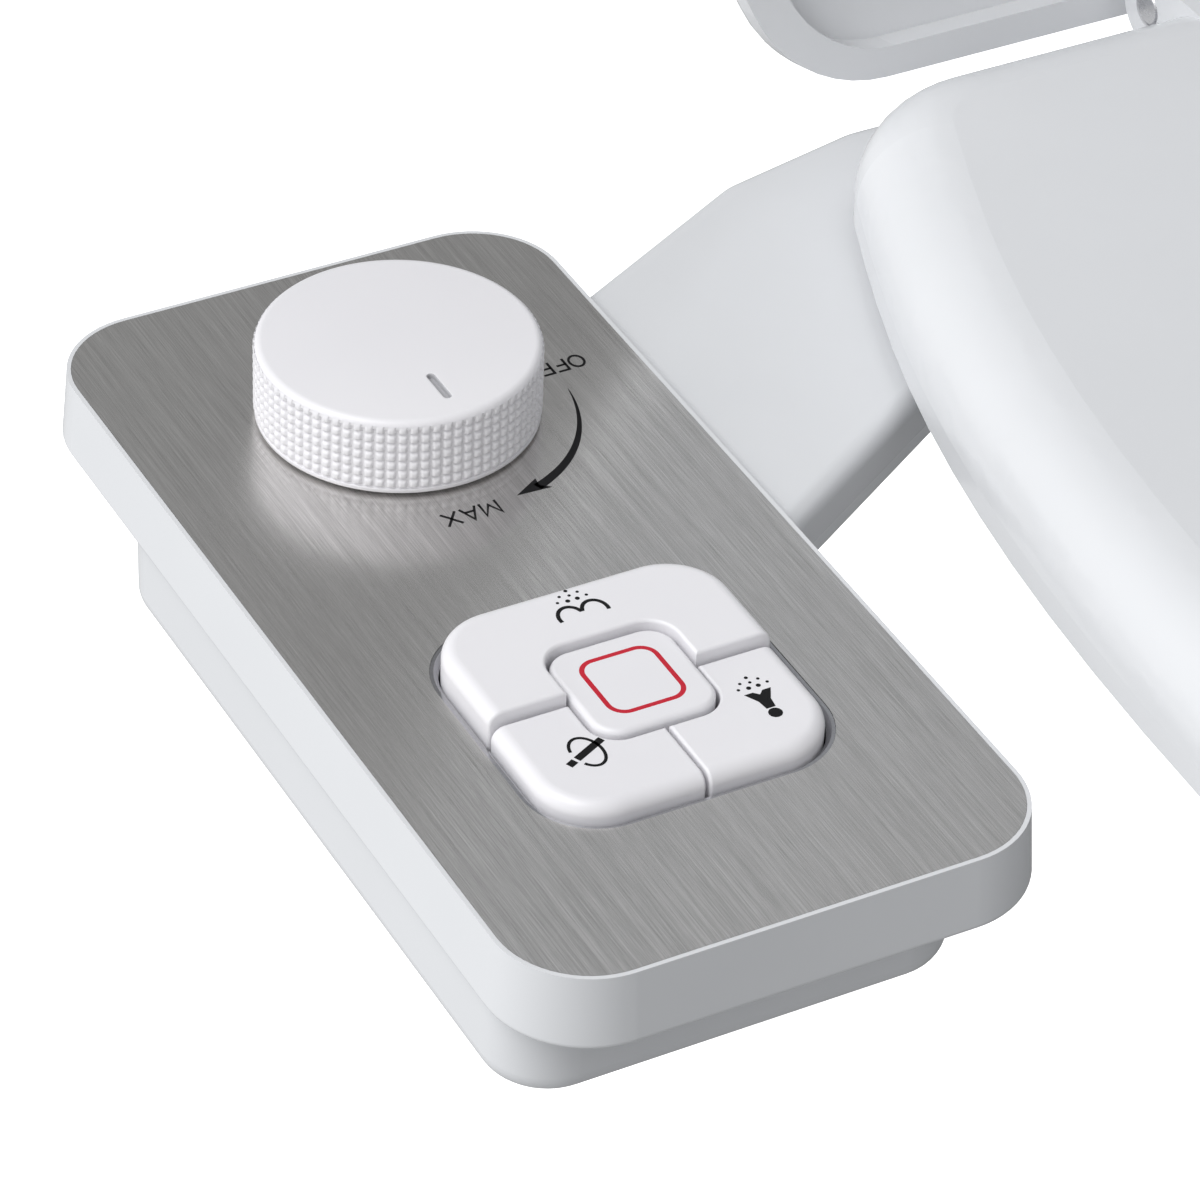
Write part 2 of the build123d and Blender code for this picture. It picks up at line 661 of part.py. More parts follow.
for side, (x, y) in zip(("left", "right"), bolt_spots):
    with BuildPart() as adjuster:
        with BuildSketch(at(x, y, move_gap)):
            Circle(disc_r)
        extrude(amount=lip_z)
        with BuildSketch(at(x, y, lip_z + move_gap)):
            Circle(disc_r + disc_lip)
        extrude(amount=disc_lip_t)
        with BuildSketch(at(x, y)):
            SlotOverall(slot_l, slot_w, rotation=90)
        extrude(amount=arm_h, mode=Mode.SUBTRACT)
    save(adjuster.part, f"adjuster_{side}")

# ================================================================ nozzle housing, nozzles, guard
def slide_plane(x, along):
    """Plane square to a nozzle's slide, at a distance along it."""
    origin = (x, nozzle_y + slide_dir[1] * along, nozzle_z + slide_dir[2] * along)
    return Plane(origin=origin, x_dir=(1, 0, 0), z_dir=slide_dir)


shoe_mid_y = (arm_front_y + shoe_front) / 2
with BuildPart() as shoe:
    with BuildSketch(at(0, shoe_mid_y)):
        Rectangle(shoe_w, arm_front_y - shoe_front)
    extrude(amount=arm_h)
    fillet(shoe.edges().group_by(Axis.Z)[-1].filter_by(Axis.X).sort_by(Axis.Y)[0], 3)
    with BuildSketch(slide_plane(0, sleeve_from)):
        RectangleRounded(sleeve_w, sleeve_h, 3)
    extrude(amount=sleeve_to - sleeve_from)
    for side in (-1, 1):
        with BuildSketch(Plane.YZ.offset(side * (lug_in + lug_t / 2))):
            with BuildLine():
                Polyline(
                    (shoe_front + 2, pivot_z - lug_r + 1), (shoe_front + 2, pivot_z + lug_r),
                    (pivot_y, pivot_z + lug_r), (pivot_y, pivot_z - lug_r), close=True,
                )
            make_face()
            with Locations((pivot_y, pivot_z)):
                Circle(lug_r)
        extrude(amount=lug_t / 2, both=True)
    # hollow behind the nozzles
    hollow_rear, hollow_front = arm_front_y - shoe_wall, manifold_front - 2
    with BuildSketch(at(0, (hollow_rear + hollow_front) / 2, shoe_wall)):
        Rectangle(2 * nozzle_dx + 2 * hose_r + 8, hollow_rear - hollow_front)
    extrude(amount=arm_h - 2 * shoe_wall, mode=Mode.SUBTRACT)
    with BuildSketch(at(0, arm_front_y - shoe_wall, hose_high - hose_r - 0.5)):
        Rectangle(2 * nozzle_dx + 2 * hose_r + 2, 3 * shoe_wall)
    extrude(amount=2 * hose_r + 1, mode=Mode.SUBTRACT)
    for side in (-1, 1):
        with BuildSketch(slide_plane(side * nozzle_dx, 0)):
            Circle(nozzle_r + move_gap)
        extrude(amount=sleeve_to + 1, mode=Mode.SUBTRACT)
        with BuildSketch(Plane.YZ.offset(side * (lug_in + lug_t / 2))):
            with Locations((pivot_y, pivot_z)):
                Circle(pivot_r)
        extrude(amount=lug_t / 2, both=True, mode=Mode.SUBTRACT)
save(shoe.part, "nozzle_housing")

with BuildPart() as manifold:
    with BuildSketch(at(0, (manifold_rear + manifold_front) / 2, shoe_wall)):
        Rectangle(2 * nozzle_dx + 2 * hose_r + 6, manifold_rear - manifold_front)
    extrude(amount=arm_h - 2 * shoe_wall)
    for side in (-1, 1):
        with BuildSketch(slide_plane(side * nozzle_dx, feed_back)):
            Circle(feed_r)
        extrude(amount=feed_tip - feed_back)
save(manifold.part, "nozzle_manifold")

for name, side in (("rear_nozzle", 1), ("front_nozzle", -1)):
    with BuildPart() as nozzle:
        with BuildSketch(slide_plane(side * nozzle_dx, nozzle_back)):
            Circle(nozzle_r)
        extrude(amount=nozzle_tip - nozzle_back)
        with Locations(slide_plane(side * nozzle_dx, nozzle_tip)):
            Sphere(nozzle_r)
        with BuildSketch(slide_plane(side * nozzle_dx, nozzle_back)):
            Circle(nozzle_bore)
        extrude(amount=nozzle_tip - nozzle_back - 3, mode=Mode.SUBTRACT)
        # spray hole on the upper side near the tip
        spray = slide_plane(side * nozzle_dx, nozzle_tip - 5)
        up = Plane(origin=spray.origin, x_dir=(1, 0, 0), z_dir=(0, slide_dir[2], -slide_dir[1]))
        with BuildSketch(up):
            Circle(0.7)
        extrude(amount=nozzle_r + 1, mode=Mode.SUBTRACT)
    save(nozzle.part, name)

with BuildPart() as guard:
    for shrink, mode in ((0, Mode.ADD), (guard_wall, Mode.SUBTRACT)):
        ceiling = guard_top - shrink
        with BuildSketch(at(0, guard_y, guard_bottom)):
            Circle(guard_foot_r - shrink)
        with BuildSketch(at(0, guard_y, ceiling)):
            Circle(guard_r - shrink)
        loft(mode=mode)
        if not shrink:
            fillet(guard.edges().group_by(Axis.Z)[-1], 1.2)
    with BuildSketch(Plane.YZ):
        with Locations((pivot_y, pivot_z)):
            Circle(barrel_r)
    extrude(amount=guard_r - 1.2, both=True)
    with BuildSketch(at(0, guard_y + guard_r, guard_bottom)):
        Rectangle(4 * guard_r, 2 * guard_r)
    extrude(amount=2 * (guard_top - guard_bottom), mode=Mode.SUBTRACT)
    with BuildSketch(Plane.YZ):
        with Locations((pivot_y, pivot_z)):
            Circle(pivot_r + move_gap)
    extrude(amount=guard_r + 2, both=True, mode=Mode.SUBTRACT)
save(guard.part, "nozzle_guard")

with BuildPart() as guard_pin:
    with BuildSketch(Plane.YZ):
        with Locations((pivot_y, pivot_z)):
            Circle(pivot_r)
    extrude(amount=lug_in + lug_t, both=True)
save(guard_pin.part, "guard_pin")

# ================================================================ hinge posts and bolts
for side, (x, y) in zip(("left", "right"), bolt_spots):
    with BuildPart() as post:
        with BuildSketch(at(x, (post_front + post_rear) / 2, arm_h)):
            Rectangle(post_w, post_rear - post_front)
        extrude(amount=post_h)
        fillet(post.edges().filter_by(Axis.Z), 3)
        with BuildSketch(Plane.YZ.offset(x)):
            with BuildLine():
                Polyline(
                    (hinge_y - eye_r, arm_h + 2), (hinge_y - eye_r, hinge_z),
                    (hinge_y + eye_r, hinge_z), (hinge_y + eye_r, arm_h + 2), close=True,
                )
            make_face()
            with Locations((hinge_y, hinge_z)):
                Circle(eye_r)
        extrude(amount=post_w / 2, both=True)
        with BuildSketch(at(x, y, arm_h)):
            Circle(bolt_r + shank_clear)
        extrude(amount=bolt_seat_t, mode=Mode.SUBTRACT)
        with BuildSketch(at(x, y, arm_h + bolt_seat_t)):
            Circle(bolt_head_r + seat_fit)
        extrude(amount=hinge_z, mode=Mode.SUBTRACT)
        with BuildSketch(Plane.YZ.offset(x)):
            with Locations((hinge_y, hinge_z)):
                Circle(hinge_r)
        extrude(amount=post_w, both=True, mode=Mode.SUBTRACT)
    save(post.part, f"hinge_post_{side}")

    with BuildPart() as bolt:
        # threaded below the plate, a plain thinner shank through it
        for radius, low, high in (
            (bolt_r, bolt_low, 0),
            (bolt_r - shank_clear, 0, arm_h + bolt_seat_t),
            (bolt_head_r, arm_h + bolt_seat_t, arm_h + bolt_seat_t + bolt_head_h),
        ):
            with BuildSketch(at(x, y, low)):
                Circle(radius)
            extrude(amount=high - low)
        with BuildSketch(at(x, y, arm_h + bolt_seat_t + bolt_head_h - hex_depth)):
            RegularPolygon(hex_r, 6)
        extrude(amount=hex_depth, mode=Mode.SUBTRACT)
    save(bolt.part, f"seat_bolt_{side}")

    with BuildPart() as hinge_pin:
        with BuildSketch(Plane.YZ.offset(x)):
            with Locations((hinge_y, hinge_z)):
                Circle(hinge_r)
        extrude(amount=post_w / 2 + move_gap + ear_w, both=True)
        chamfer(hinge_pin.edges().filter_by(GeomType.CIRCLE), 0.4)
    save(hinge_pin.part, f"hinge_pin_{side}")


# ================================================================ seat and lid
def egg(z, half, rear_half, rear, wide_y, front, corner):
    """Plan of the seat or lid: square rear, sides that spread, elliptical front."""
    with BuildSketch(Plane.XY.offset(z)) as plan:
        with BuildLine():
            EllipticalCenterArc((0, wide_y), half, wide_y - front, start_angle=180, arc_size=180)
            Spline(
                (-half, wide_y), (-(half + rear_half) / 2 - 2, rear - 52), (-rear_half, rear),
                tangents=((0, 1), (0.42, 1)),
            )
            Line((-rear_half, rear), (rear_half, rear))
            Spline(
                (half, wide_y), ((half + rear_half) / 2 + 2, rear - 52), (rear_half, rear),
                tangents=((0, 1), (-0.42, 1)),
            )
        make_face()
        fillet(plan.vertices().group_by(Axis.Y)[-1], corner)
    return plan.sketch


def shrunk(shape, corner, inset):
    """The sizes of an egg that lies inside another by an inset."""
    half, rear_half, rear, wide_y, front = shape
    return half - inset, rear_half - inset, rear - inset, wide_y, front + inset, corner - inset


def opening(z, grow):
    """The hole through the seat, as a front and a rear half ellipse."""
    with BuildSketch(Plane.XY.offset(z)) as hole:
        with BuildLine():
            for reach, start in ((open_wide_y - open_front, 180), (open_rear - open_wide_y, 0)):
                EllipticalCenterArc(
                    (0, open_wide_y), open_half + grow, reach + grow, start_angle=start, arc_size=180
                )
        make_face()
    return hole.sketch


def notches(z, depth):
    """Room in the seat for the posts and the lid's ears."""
    with BuildSketch(Plane.XY.offset(z)) as cut:
        for side in (-1, 1):
            with Locations((side * (notch_in + notch_out) / 2, seat_rear)):
                Rectangle(notch_out - notch_in, 2 * (seat_rear - post_front + depth))
    return cut.sketch


seat_shape = (seat_half, seat_rear_half, seat_rear, seat_wide_y, seat_front)
with BuildPart() as seat:
    add(egg(seat_z, *seat_shape, seat_corner_r))
    extrude(amount=seat_h)
    fillet(seat.edges().group_by(Axis.Z)[-1], seat_outer_r)
    add(opening(seat_z, 0))
    extrude(amount=seat_h, mode=Mode.SUBTRACT)
    fillet(seat.faces().sort_by(Axis.Z)[-1].inner_wires()[0].edges(), seat_inner_r)
    with BuildSketch(Plane.XY.offset(seat_z)):
        add(egg(0, *shrunk(seat_shape, seat_corner_r, seat_side)))
        with Locations((0, (open_rear + 10 + seat_rear) / 2)):
            Rectangle(3 * seat_half, seat_rear - open_rear - 10, mode=Mode.SUBTRACT)
        add(opening(0, seat_side), mode=Mode.SUBTRACT)
    extrude(amount=seat_h - seat_top, mode=Mode.SUBTRACT)
    add(notches(seat_z, 2))
    extrude(amount=seat_h, mode=Mode.SUBTRACT)
    for side in (-1, 1):
        with BuildSketch(Plane.YZ.offset(side * (ear_out + ear_w / 2))):
            with Locations((hinge_y, hinge_z)):
                Circle(eye_r)
            with Locations(((hinge_y - 4) / 2, hinge_z)):
                Rectangle(hinge_y + 4, 2 * eye_r)
        extrude(amount=ear_w / 2, both=True)
    with BuildSketch(Plane.YZ):
        with Locations((hinge_y, hinge_z)):
            Circle(hinge_r + move_gap)
    extrude(amount=ear_out + ear_w + 2, both=True, mode=Mode.SUBTRACT)
save(seat.part, "seat_ring")

with BuildPart() as seat_bumpers:
    with BuildSketch(Plane.XY):
        with Locations(seat_bumper_spots):
            RectangleRounded(bumper_w, bumper_l, bumper_r)
    extrude(amount=seat_z + seat_h - seat_top)
    chamfer(seat_bumpers.edges().group_by(Axis.Z)[0], 1)
save(seat_bumpers.part, "seat_bumpers")

lid_shape = (seat_half + lid_grow, seat_rear_half + lid_grow, lid_rear, seat_wide_y, seat_front - lid_grow)
with BuildPart() as lid:
    add(egg(lid_z, *lid_shape, seat_corner_r))
    extrude(amount=lid_h)
    fillet(lid.edges().group_by(Axis.Z)[-1], lid_edge_r)
    with BuildSketch(Plane.XY.offset(lid_z)):
        add(egg(0, *shrunk(lid_shape, seat_corner_r, lid_side)))
        for side in (-1, 1):
            with Locations((side * (ear_in + ear_w / 2), lid_rear)):
                Rectangle(ear_w + 4, 50, mode=Mode.SUBTRACT)
    extrude(amount=lid_h - lid_shell, mode=Mode.SUBTRACT)
    for side in (-1, 1):
        with BuildSketch(Plane.YZ.offset(side * (ear_in + ear_w / 2))):
            with Locations((hinge_y, hinge_z)):
                Circle(eye_r)
            with Locations((hinge_y - eye_r / 2 + 0.5, (hinge_z + lid_z + 1) / 2)):
                Rectangle(eye_r + 1, lid_z + 1 - hinge_z)
        extrude(amount=ear_w / 2, both=True)
    with BuildSketch(Plane.YZ):
        with Locations((hinge_y, hinge_z)):
            Circle(hinge_r + move_gap)
    extrude(amount=ear_out, both=True, mode=Mode.SUBTRACT)
save(lid.part.rotate(hinge_axis, -lid_angle), "lid")

with BuildPart() as lid_bumpers:
    with BuildSketch(Plane.XY.offset(seat_z + seat_h + move_gap)):
        with Locations(lid_bumper_spots):
            RectangleRounded(bumper_w, bumper_l, bumper_r)
    extrude(amount=lid_z + lid_h - lid_shell - seat_z - seat_h - move_gap)
save(lid_bumpers.part.rotate(hinge_axis, -lid_angle), "lid_bumpers")
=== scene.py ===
"""Studio scene of the bidet seat: materials, fine detail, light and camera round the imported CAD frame."""

import json
from math import cos, hypot, pi, radians, sin

import bmesh
import bpy
from mathutils import Matrix, Vector


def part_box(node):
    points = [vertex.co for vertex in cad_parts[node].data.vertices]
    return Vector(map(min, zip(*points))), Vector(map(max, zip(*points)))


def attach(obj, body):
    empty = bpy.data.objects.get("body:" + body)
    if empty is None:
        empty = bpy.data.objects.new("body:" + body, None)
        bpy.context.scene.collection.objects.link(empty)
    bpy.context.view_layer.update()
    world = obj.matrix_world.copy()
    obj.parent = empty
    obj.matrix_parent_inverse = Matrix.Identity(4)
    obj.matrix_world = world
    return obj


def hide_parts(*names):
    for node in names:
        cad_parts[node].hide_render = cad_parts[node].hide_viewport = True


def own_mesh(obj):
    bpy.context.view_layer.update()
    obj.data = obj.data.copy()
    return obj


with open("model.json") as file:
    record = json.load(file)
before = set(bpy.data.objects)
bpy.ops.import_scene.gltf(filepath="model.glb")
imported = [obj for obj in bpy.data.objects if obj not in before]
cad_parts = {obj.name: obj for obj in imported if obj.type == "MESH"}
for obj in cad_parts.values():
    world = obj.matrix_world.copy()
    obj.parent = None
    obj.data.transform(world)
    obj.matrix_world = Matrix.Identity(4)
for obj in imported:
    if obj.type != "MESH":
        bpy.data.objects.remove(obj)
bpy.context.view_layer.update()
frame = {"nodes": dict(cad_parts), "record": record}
MM = 0.001

PLATE_LOW, PLATE_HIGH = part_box("face_plate")
METAL_Z = PLATE_HIGH.z
PANEL = Vector(((PLATE_LOW.x + PLATE_HIGH.x) / 2, (PLATE_LOW.y + PLATE_HIGH.y) / 2, METAL_Z))

# ---------------------------------------------------------------- camera
CAMERA_FROM_PANEL = Vector((-0.3168, -0.5879, 0.5113))
AZIMUTH, ELEVATION, ROLL = radians(-29.269), radians(37.685), radians(2.365)

camera_data = bpy.data.cameras.new("camera")
camera_data.sensor_width = 36
camera_data.lens = 168.4
camera_data.clip_start = 0.05
camera = bpy.data.objects.new("camera", camera_data)
bpy.context.scene.collection.objects.link(camera)
back = Vector((sin(AZIMUTH) * cos(ELEVATION), -cos(AZIMUTH) * cos(ELEVATION), sin(ELEVATION)))
level = Vector((cos(AZIMUTH), sin(AZIMUTH), 0))
up = back.cross(level)
right = level * cos(ROLL) + up * sin(ROLL)
up = back.cross(right)
turn = Matrix((right, up, back)).transposed().to_4x4()
camera.matrix_world = Matrix.Translation(PANEL + CAMERA_FROM_PANEL) @ turn
bpy.context.scene.camera = camera
bpy.context.scene.view_settings.view_transform = "Standard"


# ---------------------------------------------------------------- materials
class Shader:
    """A new material with its Principled shader and short ways to add nodes."""

    def __init__(self, name, **values):
        self.material = bpy.data.materials.new(name)
        self.material.use_nodes = True
        self.tree = self.material.node_tree
        self.bsdf = self.tree.nodes["Principled BSDF"]
        for key, value in values.items():
            self.bsdf.inputs[key.replace("_", " ")].default_value = value
        self.place = self.add("ShaderNodeTexCoord").outputs["Object"]

    def add(self, kind, **settings):
        node = self.tree.nodes.new(kind)
        for key, value in settings.items():
            if hasattr(node, key):
                setattr(node, key, value)
            else:
                node.inputs[key.replace("_", " ")].default_value = value
        return node

    def link(self, source, target):
        self.tree.links.new(source, target)

    def noise(self, per_m, detail=2.0, stretch=(1, 1, 1), roughness=0.5):
        """Noise with that many features to the metre along each axis, times stretch."""
        mapping = self.add("ShaderNodeMapping")
        mapping.inputs["Scale"].default_value = stretch
        self.link(self.place, mapping.inputs["Vector"])
        noise = self.add("ShaderNodeTexNoise", Scale=per_m, Detail=detail, Roughness=roughness)
        self.link(mapping.outputs["Vector"], noise.inputs["Vector"])
        return noise.outputs["Fac"]

    def spread(self, value, low, high, start=0.3, end=0.7):
        """Maps noise to a range of numbers."""
        node = self.add("ShaderNodeMapRange")
        for socket, number in zip(node.inputs[1:5], (start, end, low, high)):
            socket.default_value = number
        self.link(value, node.inputs[0])
        return node.outputs[0]

    def tint(self, value, low, high):
        """Mixes two colours by a value."""
        node = self.add("ShaderNodeMix", data_type="RGBA")
        node.inputs[6].default_value = (*low, 1)
        node.inputs[7].default_value = (*high, 1)
        self.link(value, node.inputs[0])
        self.link(node.outputs[2], self.bsdf.inputs["Base Color"])

    def bump(self, *layers):
        """Stacks bump layers, each a height, its strength and its depth in metres."""
        normal = None
        for height, strength, depth in layers:
            node = self.add("ShaderNodeBump", Strength=strength, Distance=depth)
            self.link(height, node.inputs["Height"])
            if normal:
                self.link(normal, node.inputs["Normal"])
            normal = node.outputs["Normal"]
        self.link(normal, self.bsdf.inputs["Normal"])


def plastic(name, light, dark, roughness, grain, grain_depth, wave=0.00002, **values):
    """Moulded plastic: faint tone drift, uneven gloss, a fine grain and a slow surface wave."""
    s = Shader(name, **values)
    drift = s.noise(18, 3)
    s.tint(s.spread(drift, 0, 1), dark, light)
    s.link(s.spread(s.noise(60, 2), roughness - 0.02, roughness + 0.03), s.bsdf.inputs["Roughness"])
    s.bump((s.noise(45, 1), 0.15, wave), (s.noise(grain, 2), 0.12, grain_depth))
    return s.material


def metal(name, light, dark, roughness, stretch, per_m=300, depth=0.00001, **values):
    """Bare metal with tool or brush marks drawn out along one axis."""
    s = Shader(name, Metallic=1.0, **values)
    fine = s.noise(per_m * 6, 3, stretch, 0.7)
    s.tint(s.spread(fine, 0, 1), dark, light)
    coarse = s.noise(per_m, 4, stretch, 0.7)
    s.link(s.spread(coarse, roughness - 0.06, roughness + 0.08), s.bsdf.inputs["Roughness"])
    s.bump((fine, 0.2, depth))
    return s.material


def brushed_plate():
    """The face plate: long fine brush lines along Y, in three widths, with an even satin gloss."""
    s = Shader("brushed_plate", Metallic=1.0, Anisotropic=0.65)
    hair = s.noise(14000, 2, (1, 0.010, 1), 0.6)
    line = s.noise(5200, 3, (1, 0.006, 1), 0.65)
    band = s.noise(900, 3, (1, 0.012, 1), 0.6)
    add_one = s.add("ShaderNodeMath", operation="ADD")
    add_two = s.add("ShaderNodeMath", operation="MULTIPLY_ADD")
    s.link(hair, add_one.inputs[0])
    s.link(line, add_one.inputs[1])
    s.link(band, add_two.inputs[0])
    add_two.inputs[1].default_value = 0.45
    s.link(add_one.outputs[0], add_two.inputs[2])
    total = add_two.outputs[0]
    s.tint(s.spread(total, 0, 1, 0.85, 1.6), (0.50, 0.49, 0.478), (0.90, 0.885, 0.865))
    s.link(s.spread(total, 0.29, 0.17, 0.85, 1.6), s.bsdf.inputs["Roughness"])
    s.bump((line, 0.2, 0.000008), (hair, 0.2, 0.000004))
    across = s.add("ShaderNodeTangent", direction_type="RADIAL", axis="Y")
    s.link(across.outputs[0], s.bsdf.inputs["Tangent"])
    return s.material


MATERIALS = {
    "white_gloss": plastic("white_gloss", (0.78, 0.79, 0.81), (0.75, 0.76, 0.78), 0.20, 2500, 0.000004),
    "seat_white": plastic("seat_white", (0.80, 0.81, 0.83), (0.77, 0.78, 0.80), 0.16, 1400, 0.000005),
    "white_satin": plastic("white_satin", (0.83, 0.84, 0.85), (0.79, 0.80, 0.82), 0.34, 3000, 0.000008),
    "key_white": plastic("key_white", (0.90, 0.89, 0.915), (0.87, 0.86, 0.89), 0.30, 4200, 0.000006),
    "grey_plastic": plastic("grey_plastic", (0.34, 0.35, 0.37), (0.27, 0.28, 0.30), 0.45, 2600, 0.00001),
    "ceramic": plastic("ceramic", (0.80, 0.78, 0.73), (0.74, 0.72, 0.67), 0.25, 5000, 0.000003),
    "hose": plastic("hose", (0.74, 0.78, 0.80), (0.68, 0.72, 0.75), 0.3, 900, 0.00001),
    "soft_rubber": plastic("soft_rubber", (0.62, 0.63, 0.64), (0.54, 0.55, 0.56), 0.62, 3500, 0.00002),
    "red_ring": plastic("red_ring", (0.66, 0.006, 0.030), (0.56, 0.005, 0.024), 0.32, 4200, 0.000004),
    # The grey on the knob's pointer slot is painted shade: it stands in for the shadow inside the recess.
    "slot_painted_shade": plastic("slot_painted_shade", (0.50, 0.50, 0.52), (0.44, 0.44, 0.46), 0.45, 4200, 0.000004),
    "ink": plastic("ink", (0.010, 0.010, 0.011), (0.005, 0.005, 0.006), 0.55, 6000, 0.000002,
                   Specular_IOR_Level=0.2),
    "brushed_plate": brushed_plate(),
    "bright_trim": metal("bright_trim", (0.50, 0.50, 0.52), (0.42, 0.42, 0.44), 0.10, (1, 1, 6)),
    "brass": metal("brass", (0.72, 0.56, 0.28), (0.60, 0.45, 0.20), 0.24, (1, 1, 8)),
    "steel": metal("steel", (0.62, 0.62, 0.63), (0.50, 0.50, 0.52), 0.28, (1, 1, 8)),
}
KEYS = ("rear_button", "front_left_button", "front_right_button", "stop_button", "knob")
for part in frame["record"]["subparts"]:
    wanted = "key_white" if part["node"] in KEYS else part["material_slot"]
    solid = frame["nodes"][part["node"]]
    solid.data.materials.clear()
    solid.data.materials.append(MATERIALS[wanted])


# ---------------------------------------------------------------- mesh helpers
def make(name, points, faces, material, body, smooth=True):
    """A mesh piece that rides on a body."""
    mesh = bpy.data.meshes.new(name)
    mesh.from_pydata([tuple(p) for p in points], [], faces)
    mesh.validate()
    shape = bmesh.new()
    shape.from_mesh(mesh)
    bmesh.ops.recalc_face_normals(shape, faces=shape.faces)
    shape.to_mesh(mesh)
    shape.free()
    if smooth:
        mesh.polygons.foreach_set("use_smooth", [True] * len(mesh.polygons))
    mesh.materials.append(MATERIALS[material])
    piece = bpy.data.objects.new(name, mesh)
    bpy.context.scene.collection.objects.link(piece)
    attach(piece, body)
    return piece


def grid_faces(rows, columns, closed):
    """Quads of a grid of points, joined round its columns if closed."""
    faces = []
    for i in range(rows - 1):
        for j in range(columns if closed else columns - 1):
            k = (j + 1) % columns
            faces.append((i * columns + j, i * columns + k, (i + 1) * columns + k, (i + 1) * columns + j))
    return faces


# ---------------------------------------------------------------- ridged knob
KNOB_LOW, KNOB_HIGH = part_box("knob")
KNOB_X, KNOB_Y = (KNOB_LOW.x + KNOB_HIGH.x) / 2, (KNOB_LOW.y + KNOB_HIGH.y) / 2
KNOB_R = (KNOB_HIGH.x - KNOB_LOW.x) / 2
PAD_COLUMNS, PAD_ROWS = 80, 7
PAD_HEIGHT = 0.5 * MM
PAD_PITCH = 1.66 * MM
LIP = 0.75 * MM
CROWN_R = 1.3 * MM
PAD_STEPS = (0.0, 0.16, 0.28, 0.42, 0.72, 0.86)      # places across a pad's pitch
PAD_RISE = (0.0, 0.0, 0.8, 1.0, 1.0, 0.8)
PAD_SINK = 0.65                                      # share of a pad's height below the plain side
LIP_TOP = KNOB_LOW.z + LIP + 0.05 * MM
CROWN_LOW = KNOB_HIGH.z - CROWN_R - 0.05 * MM
CROWN_STEPS = 8
KNOB_WALL, KNOB_HUB_R = 2.5 * MM, 4.5 * MM
MARK_EDGE, MARK_LENGTH, MARK_WIDTH = 5.1, 7.0, 1.4   # pointer line, mm


def knob_rings():
    """(z, radius, pad share) of each ring of the knob's side, from the bottom up."""
    bottom, top = KNOB_LOW.z, KNOB_HIGH.z
    side = KNOB_R - PAD_HEIGHT * 0.35
    rings = [
        (bottom, side - 0.5 * MM, 0),
        (bottom + 0.12 * MM, side - 0.1 * MM, 0),
        (bottom + 0.3 * MM, side, 0),
        (bottom + LIP, side, 0),
    ]
    first = bottom + LIP + 0.1 * MM
    for row in range(PAD_ROWS):
        for step, rise in zip(PAD_STEPS, PAD_RISE):
            rings.append((first + (row + step) * PAD_PITCH, side, rise))
    rings.append((first + PAD_ROWS * PAD_PITCH, side, 0))
    for i in range(CROWN_STEPS + 1):
        angle = i / CROWN_STEPS * pi / 2
        rings.append((top - CROWN_R + CROWN_R * sin(angle), side - CROWN_R + CROWN_R * cos(angle), 0))
    return rings


def knob_side():
    """Points and faces of the knob's ridged side, and how many points go round it."""
    rings = knob_rings()
    columns = PAD_COLUMNS * len(PAD_STEPS)
    points = []
    for z, radius, share in rings:
        for column in range(PAD_COLUMNS):
            for step, rise in zip(PAD_STEPS, PAD_RISE):
                angle = 2 * pi * (column + step) / PAD_COLUMNS
                if share:
                    r = radius - PAD_SINK * PAD_HEIGHT + PAD_HEIGHT * min(share, rise)
                else:
                    r = radius - (PAD_SINK * PAD_HEIGHT if LIP_TOP < z < CROWN_LOW else 0)
                points.append((KNOB_X + r * cos(angle), KNOB_Y + r * sin(angle), z))
    faces = grid_faces(len(rings), columns, True)
    return points, faces, columns


def slot_loop(centre, outline, length, width, z):
    """Points of a slot along Y with round ends, each in line with a point of an outline round it."""
    loop = []
    straight = (length - width) / 2
    for point in outline:
        dx, dy = point[0] - centre[0], point[1] - centre[1]
        size = hypot(dx, dy)
        dx, dy = dx / size, dy / size
        reach = width / 2 / max(abs(dx), 1e-9)
        if abs(reach * dy) > straight:
            # the ray leaves through a round end, a circle about (0, straight)
            reach = straight * abs(dy) + (straight ** 2 * dy ** 2 - straight ** 2 + width ** 2 / 4) ** 0.5
        loop.append(Vector((centre[0] + reach * dx, centre[1] + reach * dy, z)))
    return loop


